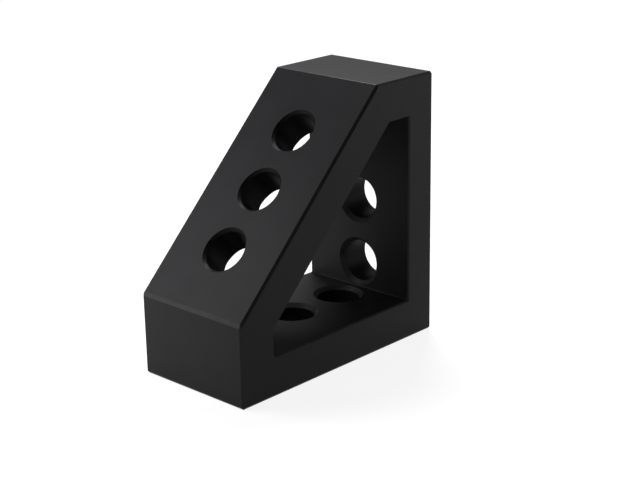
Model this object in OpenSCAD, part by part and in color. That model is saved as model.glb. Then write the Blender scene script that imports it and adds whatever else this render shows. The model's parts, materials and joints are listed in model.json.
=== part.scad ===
// Angled mounting block: a framed block with a drilled foot, a drilled back and a drilled angled face.
// X runs from the nose to the back, Y across the width and Z up. The origin is the middle of the underside.

/* [Body] */
// Length of the foot, from the nose to the back
block_length = 100; // [90:1:140]
// Height of the back, from the underside to the top
block_height = 100; // [90:1:140]
// Width between the two sides
block_width = 50; // [30:1:80]
// Height of the nose, up to the angled face
nose_height = 30.5; // [26:0.5:40]
// Length of the flat top behind the angled face
top_length = 30.5; // [26:0.5:40]
// Bevel along the outer edges
edge_bevel = 0.8; // [0.2:0.1:2]

/* [Window] */
// Wall of the foot below the window
foot_wall = 15; // [8:0.5:16]
// Wall of the back behind the window
back_wall = 13.5; // [8:0.5:16]
// Wall of the top above the window
top_wall = 14.5; // [8:0.5:16]
// Wall of the nose in front of the window
nose_wall = 15.5; // [8:0.5:16]
// Wall between the window and the angled face
slant_wall = 15; // [8:0.5:16]
// Radius in the corners of the window
window_fillet = 0.5; // [0.4:0.1:3]
// Bevel round both mouths of the window
window_bevel = 0.5; // [0.2:0.1:2]

/* [Bores] */
// Diameter of every bore
bore_d = 16; // [8:0.5:20]
// Bevel at both mouths of every bore
bore_bevel = 0.8; // [0.2:0.1:2]
// Grid distance between neighbouring bores
bore_pitch = 25; // [22:0.5:40]

/* [Hidden] */
$fn = 96;
blackened_steel = [0.16, 0.16, 0.17];
overrun = 0.5; // a cutter runs this far past the faces that it opens
fillet_steps = 4; // flats that make up one window corner

nose_x = -block_length / 2;
back_x = block_length / 2;
half_width = block_width / 2;
slant_run = block_length - top_length;
slant_rise = block_height - nose_height;
slant_angle = atan2(slant_rise, slant_run);
slant_middle = [nose_x + slant_run / 2, nose_height + slant_rise / 2];

// Height, and place along X, of the line that lies a given depth below the angled face
function slant_z(x, depth) = nose_height + (x - nose_x) * tan(slant_angle) - depth / cos(slant_angle);
function slant_x(z, depth) = nose_x + (z - nose_height + depth / cos(slant_angle)) / tan(slant_angle);

// Corners of the block and of its window, seen from the side as [x, z], anticlockwise from the toe
block_corners = [
    [nose_x, 0],
    [back_x, 0],
    [back_x, block_height],
    [back_x - top_length, block_height],
    [nose_x, nose_height],
];
window_nose = nose_x + nose_wall;
window_back = back_x - back_wall;
window_top = block_height - top_wall;
window_corners = [
    [window_nose, foot_wall],
    [window_back, foot_wall],
    [window_back, window_top],
    [slant_x(window_top, slant_wall), window_top],
    [window_nose, slant_z(window_nose, slant_wall)],
];

// Unit vector, and its angle, from one point to another
function heading(from, to) = (to - from) / norm(to - from);
function bearing(from, to) = atan2(to.y - from.y, to.x - from.x);

// A convex outline with each corner turned on a radius in equal flats: one flat makes a bevel
function turned_outline(points, radius, flats) = [
    for (i = [0 : len(points) - 1])
        let (
            corner = points[i],
            before = points[(i + len(points) - 1) % len(points)],
            after = points[(i + 1) % len(points)],
            into = heading(before, corner),
            turn = acos(into * heading(corner, after)),
            centre = corner - radius * tan(turn / 2) * into + radius * [-into.y, into.x]
        )
        for (k = [0 : flats])
            let (angle = bearing(before, corner) - 90 + turn * k / flats)
                centre + radius * [cos(angle), sin(angle)]
];

// Room that a bore takes to each side of its axis, with its bevel
bore_reach = bore_d / 2 + bore_bevel;
// Room that it keeps from the inner face of a wall, for the window's fillet
bore_margin = bore_reach + window_fillet;

// Grid places counted from the heel, at which a bore stays between two walls
function grid_places(low, high) = [
    for (k = [ceil((low + bore_margin) / bore_pitch) : floor((high - bore_margin) / bore_pitch)])
        k * bore_pitch
];
foot_places = grid_places(back_wall, block_length - nose_wall);
back_places = grid_places(foot_wall, block_height - top_wall);

// Places counted from the middle of the angled face, for as many bores as fit over the window
slant_heading = heading(slant_middle, [back_x - top_length, block_height]);
slant_room = min([for (i = [3, 4]) abs((window_corners[i] - slant_middle) * slant_heading)]);
slant_gaps = floor(2 * (slant_room - bore_margin) / bore_pitch);
slant_places = [for (k = [0 : slant_gaps]) (k - slant_gaps / 2) * bore_pitch];

// Stock that lies inside one face: its section across the width, drawn out along the face
module face_stock(from, to, section) {
    reach = block_length + block_height;
    translate([from.x, 0, from.y])
        rotate([0, -bearing(from, to), 0])
            rotate([90, 0, 90])
                translate([0, 0, -reach])
                    linear_extrude(2 * reach)
                        polygon(section);
}

// Prism across the width on a convex outline. Past a bevel's width from each side its faces lean, by end_depth at end_y
module leaning_prism(outline, bevel, end_y, end_depth) {
    reach = block_length + block_height;
    flat = half_width - bevel;
    section = [
        [-end_y, end_depth],
        [-flat, 0],
        [flat, 0],
        [end_y, end_depth],
        [end_y, reach],
        [-end_y, reach],
    ];
    intersection_for (i = [0 : len(outline) - 1])
        face_stock(outline[i], outline[(i + 1) % len(outline)], section);
}

// The block before cutting, with its edges bevelled
module stock() {
    leaning_prism(turned_outline(block_corners, edge_bevel, 1), edge_bevel, half_width, edge_bevel);
}

// The window through both sides, opening out at its mouths
module window() {
    outline = turned_outline(window_corners, window_fillet, fillet_steps);
    leaning_prism(outline, window_bevel, half_width + overrun, -window_bevel - overrun);
}

// One bore through a wall, from its outer face at z = 0 inwards, opening out at both mouths
module bore(wall) {
    radius = bore_d / 2;
    mouth = bore_reach + overrun;
    translate([0, 0, -overrun])
        cylinder(h = wall + 2 * overrun, r = radius);
    translate([0, 0, -overrun])
        cylinder(h = bore_bevel + overrun, r1 = mouth, r2 = radius);
    translate([0, 0, wall - bore_bevel])
        cylinder(h = bore_bevel + overrun, r1 = radius, r2 = mouth);
}

// A row of bores along a face through a point, with the face's direction at an angle to X
module bore_row(point, angle, places, wall) {
    translate([point.x, 0, point.y])
        rotate([0, -angle, 0])
            for (place = places)
                translate([place, 0, 0])
                    bore(wall);
}

module block() {
    color(blackened_steel)
        difference() {
            stock();
            window();
            bore_row([back_x, 0], 0, -foot_places, foot_wall);
            bore_row([back_x, 0], 90, back_places, back_wall);
            bore_row(slant_middle, 180 + slant_angle, slant_places, slant_wall);
        }
}

block();
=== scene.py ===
import json
import math

import bmesh
import bpy
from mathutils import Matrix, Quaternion, Vector


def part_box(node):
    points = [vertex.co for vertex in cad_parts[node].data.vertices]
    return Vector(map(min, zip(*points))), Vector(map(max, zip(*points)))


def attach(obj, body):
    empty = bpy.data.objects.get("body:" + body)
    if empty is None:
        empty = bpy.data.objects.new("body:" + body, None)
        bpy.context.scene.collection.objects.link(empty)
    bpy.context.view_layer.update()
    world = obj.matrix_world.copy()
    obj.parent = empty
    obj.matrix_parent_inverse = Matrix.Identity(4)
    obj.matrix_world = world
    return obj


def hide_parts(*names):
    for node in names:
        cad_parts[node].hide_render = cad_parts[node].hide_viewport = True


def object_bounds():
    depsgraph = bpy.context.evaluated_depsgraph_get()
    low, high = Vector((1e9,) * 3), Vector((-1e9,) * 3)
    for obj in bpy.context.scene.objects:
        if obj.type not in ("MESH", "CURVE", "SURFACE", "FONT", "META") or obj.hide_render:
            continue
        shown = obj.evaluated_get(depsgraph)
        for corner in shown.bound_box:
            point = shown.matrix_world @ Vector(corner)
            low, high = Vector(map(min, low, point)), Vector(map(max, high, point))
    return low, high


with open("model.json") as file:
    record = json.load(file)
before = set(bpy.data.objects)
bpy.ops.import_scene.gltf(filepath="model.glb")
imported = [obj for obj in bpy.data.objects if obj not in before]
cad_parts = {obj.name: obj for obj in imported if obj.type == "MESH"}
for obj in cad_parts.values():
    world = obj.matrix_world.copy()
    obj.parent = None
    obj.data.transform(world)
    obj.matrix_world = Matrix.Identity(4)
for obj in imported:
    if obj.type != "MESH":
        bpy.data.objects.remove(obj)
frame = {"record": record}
cadLow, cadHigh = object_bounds()
mm = 0.001


def linear(hexColour):  # sRGB hex to the linear colour that a socket takes
    parts = [int(hexColour[i:i + 2], 16) / 255 for i in (1, 3, 5)]
    return [c / 12.92 if c <= 0.04045 else ((c + 0.055) / 1.055) ** 2.4 for c in parts] + [1]


def addNode(tree, kind, inputs=None, **settings):  # a socket given as an input is linked, a value is set
    node = tree.nodes.new(kind)
    for name, value in settings.items():
        setattr(node, name, value)
    for key, value in (inputs or {}).items():
        if isinstance(value, bpy.types.NodeSocket):
            tree.links.new(value, node.inputs[key])
        else:
            node.inputs[key].default_value = value
    return node


def newMaterial(name):
    material = bpy.data.materials.new(name)
    material.use_nodes = True
    material.node_tree.nodes.clear()
    return material


# camera, matched to the edges of the block in the photograph
cameraSpec = {
    "lens": 83.08,  # mm, on a 36 mm wide sensor
    "sensor": 36,
    "eye": (-0.36182, -0.3556, 0.21129),
    "heading": 43.31,  # degrees from +X towards +Y
    "lookDown": 18.40,
    "roll": -0.92,
    "clipStart": 10 * mm,
}


def makeCamera(spec):
    bpy.ops.object.select_all(action="DESELECT")
    bpy.ops.object.camera_add(location=spec["eye"])
    camera = bpy.context.object
    camera.name = "photoCamera"
    camera.data.lens = spec["lens"]
    camera.data.sensor_width = spec["sensor"]
    camera.data.clip_start = spec["clipStart"]
    heading, down = math.radians(spec["heading"]), math.radians(spec["lookDown"])
    level = math.cos(down)
    gaze = Vector((level * math.cos(heading), level * math.sin(heading), -math.sin(down)))
    camera.rotation_mode = "QUATERNION"
    turn = Quaternion((0, 0, 1), math.radians(spec["roll"]))
    camera.rotation_quaternion = gaze.to_track_quat("-Z", "Y") @ turn
    bpy.context.scene.camera = camera


makeCamera(cameraSpec)
print("camera set")


# the block: sawn to its outline, window and bores cut through, edges broken
blockSpec = {
    "noseHeight": 30.5 * mm,
    "topLength": 30.5 * mm,
    "footWall": 15 * mm,
    "backWall": 13.5 * mm,
    "topWall": 14.5 * mm,
    "noseWall": 15.5 * mm,
    "slantWall": 15 * mm,
    "windowFillet": 0.3 * mm,
    "filletSegments": 4,
    "boreSides": 96,
    "overrun": 2 * mm,  # how far the window cutter runs past the sides
    "drillOverrun": 0.2 * mm,  # less for a drill, so that its countersinks keep clear of the next wall
    "breaks": {  # width of the chamfer along each kind of edge
        "outer": 0.8 * mm,
        "slantFoot": 1 * mm,
        "slantTop": 0.15 * mm,
        "window": 0.5 * mm,
    },
    "mouths": {  # width of the countersink outside and inside, for each row of bores
        "slant": (1 * mm, 2.5 * mm),
        "back": (0.5 * mm, 1.5 * mm),
        "foot": (0.5 * mm, 1.5 * mm),
    },
    "noseMouth": 1 * mm,  # inside, the foot bore next to the nose has less room
    "mouthRoom": (1 * mm, 3 * mm),  # past a bore's span and radius, what still counts as its mouth
}
bores = [m for m in frame["record"]["mounts"] if m["kind"] == "bore"]
low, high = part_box("block")
slantStart = Vector((low.x, 0, low.z + blockSpec["noseHeight"]))
slantEnd = Vector((high.x - blockSpec["topLength"], 0, high.z))
slantWay = (slantEnd - slantStart).normalized()
slantNormal = Vector((-slantWay.z, 0, slantWay.x))
outerPlanes = [  # point on each outer face, and its outward normal
    (low, Vector((-1, 0, 0))),
    (low, Vector((0, -1, 0))),
    (low, Vector((0, 0, -1))),
    (high, Vector((1, 0, 0))),
    (high, Vector((0, 1, 0))),
    (high, Vector((0, 0, 1))),
    (slantStart, slantNormal),
]
tight = 0.01 * mm
sharpAngle = math.radians(20)
sameWay = 0.9  # cosine above which two directions count as one
leaningWay = 0.5  # cosine above which a face leans that way


def outerFacesAt(point):
    return sum(abs((point - spot).dot(normal)) < tight for spot, normal in outerPlanes)


def boreAt(point):  # the bore that the point belongs to, on its wall or at its mouths, if any
    deeper, wider = blockSpec["mouthRoom"]
    for bore in bores:
        off = point - Vector(bore["pos_m"])
        depth = off.dot(Vector(bore["axis"]))
        radius = (off - depth * Vector(bore["axis"])).length
        inSpan = abs(depth) < bore["dims"]["length_mm"] / 2 * mm + deeper
        if inSpan and radius < bore["dims"]["r_mm"] * mm + wider:
            return bore
    return None


def pick(piece, kind, test):  # edit mode, with only the verts, edges or faces that pass the test selected
    bpy.ops.object.mode_set(mode="EDIT")
    bpy.ops.mesh.select_mode(type={"verts": "VERT", "edges": "EDGE", "faces": "FACE"}[kind])
    bpy.ops.mesh.select_all(action="DESELECT")
    mesh = bmesh.from_edit_mesh(piece.data)
    mesh.normal_update()
    for part in getattr(mesh, kind):
        part.select_set(test(part))
    mesh.select_flush_mode()
    bmesh.update_edit_mesh(piece.data)


def addBox(name, lowCorner, highCorner):
    bpy.ops.object.select_all(action="DESELECT")
    bpy.ops.mesh.primitive_cube_add(
        size=1, location=(lowCorner + highCorner) / 2, scale=highCorner - lowCorner)
    box = bpy.context.object
    box.name = name
    bpy.ops.object.transform_apply(location=True, rotation=True, scale=True)
    return box


def sawSlant(piece, depth):  # takes off what lies above the slant, or above a plane this deep below it
    pick(piece, "faces", lambda face: True)
    bpy.ops.mesh.bisect(
        plane_co=slantStart - depth * slantNormal, plane_no=slantNormal, use_fill=True, clear_outer=True)
    bpy.ops.object.mode_set(mode="OBJECT")


def makeWindow(spec):
    across = Vector((0, spec["overrun"], 0))
    window = addBox("window",
                    low + Vector((spec["noseWall"], 0, spec["footWall"])) - across,
                    high - Vector((spec["backWall"], 0, spec["topWall"])) + across)
    sawSlant(window, spec["slantWall"])
    pick(window, "edges", lambda e: abs((e.verts[1].co - e.verts[0].co).normalized().y) > sameWay)
    bpy.ops.mesh.bevel(offset=spec["windowFillet"], segments=spec["filletSegments"], profile=0.5)  # round
    bpy.ops.object.mode_set(mode="OBJECT")
    return window


def makeDrill(bore, spec):  # a straight drill with a countersink at both faces of the wall
    row = bore["name"].split("_")[0]
    outside, inside = spec["mouths"][row]
    if bore["name"] == "foot_bore_outer":
        inside = spec["noseMouth"]
    axis, radius = Vector(bore["axis"]), bore["dims"]["r_mm"] * mm
    face = Vector(bore["pos_m"]) + spec[row + "Wall"] / 2 * axis
    length = spec[row + "Wall"] - outside - inside
    bpy.ops.object.select_all(action="DESELECT")
    bpy.ops.mesh.primitive_cylinder_add(
        vertices=spec["boreSides"], radius=radius, depth=length,
        location=face - (outside + length / 2) * axis, rotation=axis.to_track_quat("Z", "Y").to_euler())
    drill = bpy.context.object
    bpy.ops.object.transform_apply(location=True, rotation=True, scale=True)
    for way, width in ((axis, outside), (-axis, inside)):
        pick(drill, "faces", lambda end: end.normal.dot(way) > sameWay)
        reach = width + spec["drillOverrun"]
        bpy.ops.mesh.extrude_region_move(TRANSFORM_OT_translate={"value": reach * way})
        bpy.ops.transform.resize(value=[1 + reach / radius] * 3, center_override=drillEnd(drill))
        bpy.ops.object.mode_set(mode="OBJECT")
    return drill


def drillEnd(drill):  # middle of the end face that is selected
    mesh = bmesh.from_edit_mesh(drill.data)
    return next(face for face in mesh.faces if face.select).calc_center_median()


def cutAway(block, cutter):
    bpy.context.view_layer.objects.active = block
    cut = block.modifiers.new("cut", "BOOLEAN")
    cut.operation = "DIFFERENCE"
    cut.solver = "EXACT"
    cut.object = cutter
    bpy.ops.object.modifier_apply(modifier=cut.name)
    bpy.data.objects.remove(cutter)


def breakWidth(edge, breaks):  # how far the edge is broken back on both of its faces
    if len(edge.link_faces) != 2 or edge.calc_face_angle() < sharpAngle:
        return 0
    spot = (edge.verts[0].co + edge.verts[1].co) / 2
    faces = outerFacesAt(spot)
    if faces == 0 or boreAt(spot):
        return 0
    if faces == 1:
        return breaks["window"]
    if all(abs(face.normal.y) < leaningWay for face in edge.link_faces):  # runs across the width
        if (spot - slantStart).xz.length < tight:
            return breaks["slantFoot"]
        if (spot - slantEnd).xz.length < tight:
            return breaks["slantTop"]
    return breaks["outer"]


def breakEdges(block, spec):
    widest = max(spec["breaks"].values())
    mesh = bmesh.new()
    mesh.from_mesh(block.data)
    mesh.normal_update()
    weight = mesh.edges.layers.float.new("bevel_weight_edge")
    for edge in mesh.edges:
        edge[weight] = breakWidth(edge, spec["breaks"]) / widest
    mesh.to_mesh(block.data)
    mesh.free()
    bpy.ops.object.select_all(action="DESELECT")
    block.select_set(True)
    bpy.context.view_layer.objects.active = block
    chamfer = block.modifiers.new("chamfers", "BEVEL")
    chamfer.limit_method = "WEIGHT"
    chamfer.width = widest
    chamfer.segments = 1
    chamfer.use_clamp_overlap = False
    bpy.ops.object.modifier_apply(modifier=chamfer.name)
    bpy.ops.object.shade_smooth_by_angle(angle=sharpAngle)
    even = block.modifiers.new("evenNormals", "WEIGHTED_NORMAL")
    even.keep_sharp = True
    bpy.ops.object.modifier_apply(modifier=even.name)


block = addBox("angleBlock", low, high)
sawSlant(block, 0)
cutAway(block, makeWindow(blockSpec))
for bore in bores:
    cutAway(block, makeDrill(bore, blockSpec))
breakEdges(block, blockSpec)
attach(block, "root")
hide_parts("block")
print("block shaped:", len(block.data.polygons), "faces")


def faceBore(face):  # the bore that a face belongs to, as its wall or a countersink
    bore = boreAt(face.center)
    if bore and abs(face.normal.dot(Vector(bore["axis"]))) < sameWay:
        return bore
    return None


def mapToolWay(block):  # U runs along the cutter's way and V across it, in metres
    mesh = block.data
    toolWay = mesh.uv_layers.new(name="toolWay")
    length, width = Vector((1, 0, 0)), Vector((0, 1, 0))
    for face in mesh.polygons:
        bore = faceBore(face)
        along = length if abs(face.normal.y) > leaningWay else width
        for corner in face.loop_indices:
            spot = mesh.vertices[mesh.loops[corner].vertex_index].co
            if bore:  # round the bore, from the angle of the face's middle
                axis, off = Vector(bore["axis"]), spot - Vector(bore["pos_m"])
                radial, ahead = off - off.dot(axis) * axis, face.center - Vector(bore["pos_m"])
                ahead -= ahead.dot(axis) * axis
                start = math.atan2(ahead.dot(axis.cross(width)), ahead.dot(width))
                turn = math.atan2(ahead.cross(radial).dot(axis), ahead.dot(radial))
                toolWay.data[corner].uv = ((start + turn) * bore["dims"]["r_mm"] * mm, off.dot(axis))
            else:
                toolWay.data[corner].uv = (spot.dot(along), spot.dot(face.normal.cross(along)))


def markSkin(block):  # 1 on edges that hands and tables wear, and on the foot and back countersinks as a painted highlight; the other faces of the bores are marked for their drilled skin and painted shade
    mesh = block.data
    rubAndHighlight = mesh.attributes.new("edgeRub", "FLOAT", "FACE")
    turned = mesh.attributes.new("turned", "FLOAT", "FACE")
    for face in mesh.polygons:
        bore = faceBore(face)
        if bore:
            countersink = abs(face.normal.dot(Vector(bore["axis"]))) > leaningWay
            rubbedAndHighlit = countersink and not bore["name"].startswith("slant")  # bolts hold foot and back; these countersinks are lightened like worn edges, a painted highlight on their rims
            rubAndHighlight.data[face.index].value = rubbedAndHighlit
            turned.data[face.index].value = not rubbedAndHighlit
            continue
        spots = [mesh.vertices[i].co for i in face.vertices]
        for point, normal in outerPlanes:
            onPlane = sum(abs((spot - point).dot(normal)) < tight for spot in spots)
            if 0 < onPlane < len(spots):
                rubAndHighlight.data[face.index].value = 1


mapToolWay(block)
markSkin(block)


# carbon steel blackened in hot salts over a milled skin: a thin oiled oxide, near black and satin, with a
# faint cloudy bloom, the fine lines of the cutter still showing in its gloss, a little less black on worn
# edges, lighter on the foot and back countersinks as a painted highlight, and painted shade in the bores
steelSpec = {
    "colour": "#262628",
    "bloomColour": "#2a292b",
    "bloomSize": 18 * mm,
    "bloomNoise": {"Detail": 4, "Roughness": 0.6},
    "bloomRange": (0.3, 0.7),  # of the noise, from no bloom to full
    # lighter colour of worn edges; on the foot and back countersinks it is a painted highlight
    "rubAndHighlightColour": "#3b3a39",
    "rubSize": 5 * mm,
    "rubNoise": {"Detail": 5, "Roughness": 0.65},
    "rubRange": (0.4, 0.7),
    "rubShare": 0.35,
    "lineSpacing": 0.5 * mm,  # a cutter's lines lie closer, and are drawn this coarse to show
    "lineLength": 22 * mm,
    "lineNoise": {"Detail": 3, "Roughness": 0.65},
    "lineHeight": 0.004 * mm,
    "grainSize": 0.7 * mm,  # the oxide's own grain is finer, and is drawn this coarse to show
    "grainNoise": {"Detail": 3, "Roughness": 0.6},
    "grainHeight": 0.008 * mm,
    "textureRange": (0.6, 1.4),  # of lines and grain together, from the smoothest to the roughest
    "roughness": (0.38, 0.5),
    "specular": 0.07,  # the oxide is soft and oily, so it mirrors far less than bare steel
    "rubSpecular": 0.13,
    "paintedBoreShade": "#141416",  # painted shade, a deeper black on the drilled walls and the slant countersinks
    "turnedRoughness": 0.45,
    "turnedSpecular": 0.04,
}


def blackSteel(spec):
    material = newMaterial("blackenedSteel")
    tree = material.node_tree
    place = addNode(tree, "ShaderNodeTexCoord").outputs["Object"]
    bloom = addNode(tree, "ShaderNodeTexNoise",
                    {"Vector": place, "Scale": 1 / spec["bloomSize"], **spec["bloomNoise"]})
    cloud = addNode(tree, "ShaderNodeMapRange",
                    {"Value": bloom.outputs["Fac"],
                     "From Min": spec["bloomRange"][0], "From Max": spec["bloomRange"][1]})
    grain = addNode(tree, "ShaderNodeTexNoise",
                    {"Vector": place, "Scale": 1 / spec["grainSize"], **spec["grainNoise"]})
    toolWay = addNode(tree, "ShaderNodeUVMap", uv_map="toolWay")
    stretch = addNode(tree, "ShaderNodeMapping",
                      {"Vector": toolWay.outputs["UV"],
                       "Scale": (1 / spec["lineLength"], 1 / spec["lineSpacing"], 1)})
    lines = addNode(tree, "ShaderNodeTexNoise",
                    {"Vector": stretch.outputs["Vector"], "Scale": 1, **spec["lineNoise"]},
                    noise_dimensions="2D")
    edge = addNode(tree, "ShaderNodeAttribute", attribute_name="edgeRub")
    patches = addNode(tree, "ShaderNodeTexNoise",
                      {"Vector": place, "Scale": 1 / spec["rubSize"], **spec["rubNoise"]})
    worn = addNode(tree, "ShaderNodeMapRange",
                   {"Value": patches.outputs["Fac"], "From Min": spec["rubRange"][0],
                    "From Max": spec["rubRange"][1], "To Max": spec["rubShare"]},
                   interpolation_type="SMOOTHSTEP")
    rubAndHighlight = addNode(tree, "ShaderNodeMath", {0: edge.outputs["Fac"], 1: worn.outputs["Result"]},
                  operation="MULTIPLY")
    oxide = addNode(tree, "ShaderNodeMix",
                    {"Factor": cloud.outputs["Result"], "A": linear(spec["colour"]),
                     "B": linear(spec["bloomColour"])},
                    data_type="RGBA")
    # worn edges lighter; on the foot and back countersinks this is a painted highlight
    colour = addNode(tree, "ShaderNodeMix",
                     {"Factor": rubAndHighlight.outputs[0], "A": oxide.outputs[2], "B": linear(spec["rubAndHighlightColour"])},
                     data_type="RGBA")
    # painted shade: the walls of the bores and the slant countersinks are darkened
    turned = addNode(tree, "ShaderNodeAttribute", attribute_name="turned").outputs["Fac"]
    skin = addNode(tree, "ShaderNodeMix",
                   {"Factor": turned, "A": colour.outputs[2], "B": linear(spec["paintedBoreShade"])},
                   data_type="RGBA")
    texture = addNode(tree, "ShaderNodeMath", {0: lines.outputs["Fac"], 1: grain.outputs["Fac"]},
                      operation="ADD")
    rough = addNode(tree, "ShaderNodeMapRange",
                    {"Value": texture.outputs[0],
                     "From Min": spec["textureRange"][0], "From Max": spec["textureRange"][1],
                     "To Min": spec["roughness"][0], "To Max": spec["roughness"][1]})
    smooth = addNode(tree, "ShaderNodeMapRange",
                     {"Value": turned,
                      "To Min": rough.outputs["Result"], "To Max": spec["turnedRoughness"]})
    grainBump = addNode(tree, "ShaderNodeBump",
                        {"Height": grain.outputs["Fac"], "Distance": spec["grainHeight"]})
    lineBump = addNode(tree, "ShaderNodeBump",
                       {"Height": lines.outputs["Fac"], "Distance": spec["lineHeight"],
                        "Normal": grainBump.outputs["Normal"]})
    gloss = addNode(tree, "ShaderNodeMapRange",
                    {"Value": edge.outputs["Fac"],
                     "To Min": spec["specular"], "To Max": spec["rubSpecular"]})
    shine = addNode(tree, "ShaderNodeMapRange",
                    {"Value": turned,
                     "To Min": gloss.outputs["Result"], "To Max": spec["turnedSpecular"]})
    steel = addNode(tree, "ShaderNodeBsdfPrincipled",
                    {"Base Color": skin.outputs[2], "Roughness": smooth.outputs["Result"],
                     "Normal": lineBump.outputs["Normal"], "Specular IOR Level": shine.outputs["Result"]})
    addNode(tree, "ShaderNodeOutputMaterial", {"Surface": steel.outputs["BSDF"]})
    return material


block.data.materials.clear()
block.data.materials.append(blackSteel(steelSpec))
print("block finished")


# stage: pale floor running into a white horizon, dim above it, and four soft boxes
stageSpec = {
    "floorRadius": 4.0,
    "floorSides": 64,
    "floorGap": 0.05 * mm,  # below the foot, so that the two don't flicker
    "floorColour": "#b4b4b2",  # for the light that it throws back
    "white": "#ffffff",
    "floorGlow": (0.88, 1.0),  # brings the seen floor up to white, near the block and far from it
    "glowReach": (0.1, 0.45),  # metres from the middle, between which it changes
    "floorShade": "#898988",  # the share of it that still takes shadow
    "fill": 0.015,  # light from all round
    "fade": (4, 12),  # degrees above the horizon, between which the white backdrop ends
    "ceiling": 0.08,  # what is left of it overhead
    "lamps": {  # place, aim, width and height, watts
        "backBox": ((0.178, 0.158, 0.43), (0.02, 0, 0.1), (0.18, 0.18), 2.4),
        "leftBox": ((-0.124, 0.11, 0.15), (-0.045, 0.01, 0.03), (0.12, 0.12), 0.2),
        "lowBox": ((-0.13, 0.085, 0.058), (-0.045, 0.01, 0.03), (0.08, 0.08), 0.06),
        "rightBox": ((0.4, -0.32, 0.14), (0, 0, 0.05), (0.3, 0.3), 0.52),
    },
}


def seenDirectly(tree):  # 1 for what the camera sees, also in gloss and through glass
    path = addNode(tree, "ShaderNodeLightPath")
    either = addNode(tree, "ShaderNodeMath",
                     {0: path.outputs["Is Camera Ray"], 1: path.outputs["Is Glossy Ray"]},
                     operation="MAXIMUM")
    return addNode(tree, "ShaderNodeMath",
                   {0: either.outputs[0], 1: path.outputs["Is Transmission Ray"]},
                   operation="MAXIMUM").outputs[0]


def paleFloor(spec):
    material = newMaterial("paleFloor")
    tree = material.node_tree
    paint = addNode(tree, "ShaderNodeBsdfDiffuse", {"Color": linear(spec["floorColour"])})
    place = addNode(tree, "ShaderNodeTexCoord").outputs["Object"]
    away = addNode(tree, "ShaderNodeVectorMath", {0: place}, operation="LENGTH")
    strength = addNode(tree, "ShaderNodeMapRange",
                       {"Value": away.outputs["Value"],
                        "From Min": spec["glowReach"][0], "From Max": spec["glowReach"][1],
                        "To Min": spec["floorGlow"][0], "To Max": spec["floorGlow"][1]},
                       interpolation_type="SMOOTHSTEP")
    glow = addNode(tree, "ShaderNodeEmission",
                   {"Color": linear(spec["white"]), "Strength": strength.outputs["Result"]})
    shade = addNode(tree, "ShaderNodeBsdfDiffuse", {"Color": linear(spec["floorShade"])})
    seen = addNode(tree, "ShaderNodeAddShader", {0: glow.outputs[0], 1: shade.outputs[0]})
    both = addNode(tree, "ShaderNodeMixShader",
                   {0: seenDirectly(tree), 1: paint.outputs[0], 2: seen.outputs[0]})
    addNode(tree, "ShaderNodeOutputMaterial", {"Surface": both.outputs[0]})
    return material


def whiteHorizon(spec):
    world = bpy.data.worlds.new("whiteHorizon")
    world.use_nodes = True
    tree = world.node_tree
    tree.nodes.clear()
    way = addNode(tree, "ShaderNodeTexCoord").outputs["Generated"]
    height = addNode(tree, "ShaderNodeSeparateXYZ", {0: way}).outputs["Z"]
    start, end = [math.sin(math.radians(angle)) for angle in spec["fade"]]
    backdrop = addNode(tree, "ShaderNodeMapRange",
                       {"Value": height, "From Min": start, "From Max": end,
                        "To Min": 1, "To Max": spec["ceiling"]},
                       interpolation_type="SMOOTHSTEP")
    fill = addNode(tree, "ShaderNodeBackground", {"Color": linear(spec["white"]), "Strength": spec["fill"]})
    white = addNode(tree, "ShaderNodeBackground",
                    {"Color": linear(spec["white"]), "Strength": backdrop.outputs["Result"]})
    shown = addNode(tree, "ShaderNodeMixShader",
                    {0: seenDirectly(tree), 1: fill.outputs[0], 2: white.outputs[0]})
    addNode(tree, "ShaderNodeOutputWorld", {"Surface": shown.outputs[0]})
    return world


def makeStage(spec):
    bpy.ops.object.select_all(action="DESELECT")
    bpy.ops.mesh.primitive_circle_add(
        vertices=spec["floorSides"], radius=spec["floorRadius"], fill_type="NGON",
        location=(0, 0, cadLow.z - spec["floorGap"]))
    floor = bpy.context.object
    floor.name = "floor"
    floor.data.materials.append(paleFloor(spec))
    bpy.context.scene.world = whiteHorizon(spec)
    for name, (place, aim, (width, height), watts) in spec["lamps"].items():
        bpy.ops.object.light_add(type="AREA", location=place)
        lamp = bpy.context.object
        lamp.name = name
        lamp.data.shape = "RECTANGLE"
        lamp.data.size = width
        lamp.data.size_y = height
        lamp.data.energy = watts
        lamp.rotation_mode = "QUATERNION"
        lamp.rotation_quaternion = (Vector(aim) - Vector(place)).to_track_quat("-Z", "Y")


makeStage(stageSpec)
bpy.context.scene.view_settings.view_transform = "Standard"
print("stage lit")
